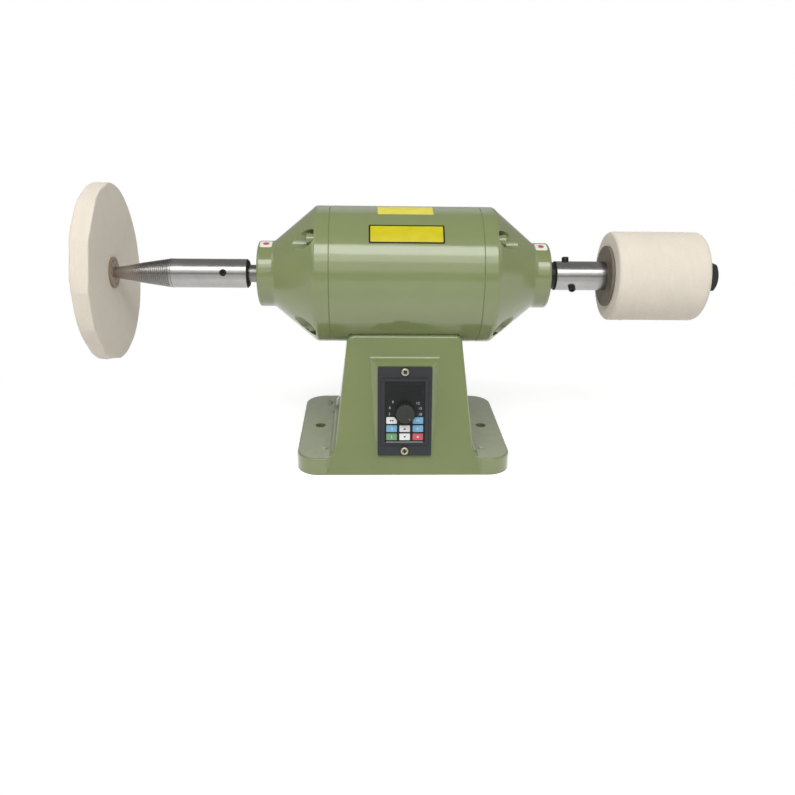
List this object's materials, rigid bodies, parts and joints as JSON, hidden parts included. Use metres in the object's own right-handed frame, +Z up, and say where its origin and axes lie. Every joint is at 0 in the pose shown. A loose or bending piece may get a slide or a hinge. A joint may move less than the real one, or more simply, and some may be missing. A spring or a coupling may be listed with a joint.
{
  "type": "bench polishing machine",
  "caption": "Bench polishing machine: motor on a cast pedestal with a speed-control panel, a felt wheel on a tapered screw spindle at one end and a felt drum on an arbor at the other.",
  "frame": {"origin": "on the bench, midway between the two bolt holes of the base", "axes": "+X along the spindle towards the drum, +Y away from the operator, +Z up"},
  "size_m": [0.7231, 0.2099, 0.311],
  "materials": {
    "green_enamel": "gloss machine enamel on cast iron",
    "zinc_steel": "zinc plated sheet and screws",
    "turned_steel": "bright turned steel",
    "bearing_steel": "ground bearing steel",
    "black_steel": "black oxide on steel",
    "flange_steel": "dark grey-brown sheet steel",
    "core_steel": "stacked laminations",
    "copper_winding": "varnished copper wire",
    "cast_aluminium": "die cast",
    "spring_steel": "oiled spring steel",
    "felt": "pressed wool felt",
    "leather": "cut sole leather",
    "black_rubber": "moulded rubber",
    "black_plastic": "moulded plastic with a fine grain",
    "keypad_film": "dark printed film",
    "display_lens": "dark tinted lens",
    "knob_plastic": "grey-black moulded knob",
    "white_key": "white moulded key",
    "blue_key": "blue moulded key",
    "green_key": "green moulded key",
    "red_key": "red moulded key",
    "yellow_zinc": "yellow passivated zinc on steel",
    "circuit_board": "glass fibre board"
  },
  "bodies": {
    "machine_base": {"pedestal": "green_enamel", "bottom_cover": "zinc_steel", "cover_screws": "green_enamel", "motor_shell": "green_enamel", "left_end_bell": "green_enamel", "right_end_bell": "green_enamel", "end_bell_bolts": "green_enamel", "saddle_bolts": "black_steel", "stator_core": "core_steel", "stator_winding": "copper_winding", "left_bearing_outer_ring": "bearing_steel", "right_bearing_outer_ring": "bearing_steel", "preload_spring": "spring_steel", "shaft_seals": "black_rubber", "lead_grommet": "black_rubber", "motor_lead": "black_rubber", "cable_gland": "black_plastic", "gland_cap": "black_plastic", "gland_locknut": "black_plastic", "panel_bezel": "black_plastic", "panel_screws": "yellow_zinc", "keypad_plate": "keypad_film", "display_lens": "display_lens", "key_switches": "black_plastic", "control_board": "circuit_board", "display_module": "black_plastic", "potentiometer": "zinc_steel", "control_housing": "black_plastic", "heat_sink": "cast_aluminium"},
    "spindle": {"motor_shaft": "turned_steel", "rotor_core": "core_steel", "rotor_end_rings": "cast_aluminium", "left_bearing_inner_ring": "bearing_steel", "right_bearing_inner_ring": "bearing_steel", "tapered_spindle": "turned_steel", "spindle_set_screws": "black_steel", "felt_wheel": "felt", "wheel_washers": "leather", "shaft_collar": "black_steel", "drum_arbor": "turned_steel", "arbor_set_screws": "black_steel", "inner_flange": "flange_steel", "felt_drum": "felt", "outer_flange": "flange_steel", "lock_washer": "black_steel", "arbor_nut": "black_steel"},
    "left_ball_set": {"left_bearing_balls": "bearing_steel", "left_bearing_cage": "spring_steel"},
    "right_ball_set": {"right_bearing_balls": "bearing_steel", "right_bearing_cage": "spring_steel"},
    "knob": {"speed_knob": "knob_plastic", "knob_shaft": "turned_steel"},
    "mode_button": {"mode_key": "white_key"},
    "set_button": {"set_key": "blue_key"},
    "back_button": {"back_key": "blue_key"},
    "up_button": {"up_key": "white_key"},
    "next_button": {"next_key": "blue_key"},
    "run_button": {"run_key": "green_key"},
    "down_button": {"down_key": "white_key"},
    "stop_button": {"stop_key": "red_key"}
  },
  "joints": [
    {"name": "spindle_spin", "type": "hinge", "parent": "machine_base", "child": "spindle", "pos_m": [0, 0, 0.211], "axis": [1, 0, 0], "continuous": true},
    {"name": "left_ball_set_roll", "type": "hinge", "parent": "machine_base", "child": "left_ball_set", "pos_m": [-0.15, 0, 0.211], "axis": [1, 0, 0], "continuous": true},
    {"name": "right_ball_set_roll", "type": "hinge", "parent": "machine_base", "child": "right_ball_set", "pos_m": [0.152, 0, 0.211], "axis": [1, 0, 0], "continuous": true},
    {"name": "knob_turn", "type": "hinge", "parent": "machine_base", "child": "knob", "pos_m": [0, -0.08165, 0.07255], "axis": [0, -0.9818, 0.1901], "range_deg": [-15, 285]},
    {"name": "mode_button_press", "type": "slide", "parent": "machine_base", "child": "mode_button", "axis": [0, 0.9818, -0.1901], "range_m": [0, 0.0008], "stiffness_N_per_m": 800, "springref_m": -0.0005},
    {"name": "set_button_press", "type": "slide", "parent": "machine_base", "child": "set_button", "axis": [0, 0.9818, -0.1901], "range_m": [0, 0.0008], "stiffness_N_per_m": 800, "springref_m": -0.0005},
    {"name": "back_button_press", "type": "slide", "parent": "machine_base", "child": "back_button", "axis": [0, 0.9818, -0.1901], "range_m": [0, 0.0008], "stiffness_N_per_m": 800, "springref_m": -0.0005},
    {"name": "up_button_press", "type": "slide", "parent": "machine_base", "child": "up_button", "axis": [0, 0.9818, -0.1901], "range_m": [0, 0.0008], "stiffness_N_per_m": 800, "springref_m": -0.0005},
    {"name": "next_button_press", "type": "slide", "parent": "machine_base", "child": "next_button", "axis": [0, 0.9818, -0.1901], "range_m": [0, 0.0008], "stiffness_N_per_m": 800, "springref_m": -0.0005},
    {"name": "run_button_press", "type": "slide", "parent": "machine_base", "child": "run_button", "axis": [0, 0.9818, -0.1901], "range_m": [0, 0.0008], "stiffness_N_per_m": 800, "springref_m": -0.0005},
    {"name": "down_button_press", "type": "slide", "parent": "machine_base", "child": "down_button", "axis": [0, 0.9818, -0.1901], "range_m": [0, 0.0008], "stiffness_N_per_m": 800, "springref_m": -0.0005},
    {"name": "stop_button_press", "type": "slide", "parent": "machine_base", "child": "stop_button", "axis": [0, 0.9818, -0.1901], "range_m": [0, 0.0008], "stiffness_N_per_m": 800, "springref_m": -0.0005}
  ],
  "couplings": [
    {"joint": "left_ball_set_roll", "follows": "spindle_spin", "ratio": 0.38149},
    {"joint": "right_ball_set_roll", "follows": "spindle_spin", "ratio": 0.38149}
  ]
}
